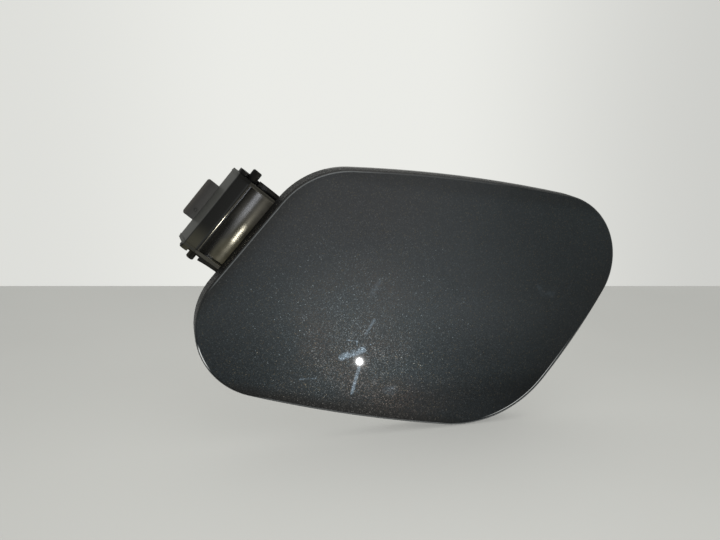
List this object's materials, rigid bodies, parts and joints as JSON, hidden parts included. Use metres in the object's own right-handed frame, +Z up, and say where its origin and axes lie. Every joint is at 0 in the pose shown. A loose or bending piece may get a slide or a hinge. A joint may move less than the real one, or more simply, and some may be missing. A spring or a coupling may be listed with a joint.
{
  "type": "car fuel door",
  "caption": "Fuel filler door of a car: a crowned painted panel with a return wall, a ribbed inner panel, a gooseneck hinge arm with pins, and an eye for the latch.",
  "frame": {"origin": "on the hinge axis, midway between the two pins", "axes": "+X along the door from the hinge towards the free end, +Y into the car, +Z up; the painted face looks along -Y"},
  "size_m": [0.2336, 0.034, 0.1427],
  "materials": {
    "paint": "dark grey metallic paint under clear coat, on a moulded plastic shell",
    "inner_plastic": "black moulded plastic with a fine grain",
    "arm_plastic": "glossy black moulded plastic with flow lines",
    "striker_plastic": "black moulded plastic",
    "steel": "zinc-plated steel",
    "rubber": "black moulded rubber"
  },
  "bodies": {
    "root": {"outer_panel": "paint", "inner_panel": "inner_plastic", "hinge_arm": "arm_plastic", "arm_screws": "steel", "striker_screws": "steel", "inner_panel_screws": "steel", "latch_striker": "striker_plastic", "bump_stop_upper": "rubber", "bump_stop_lower": "rubber"}
  },
  "joints": []
}
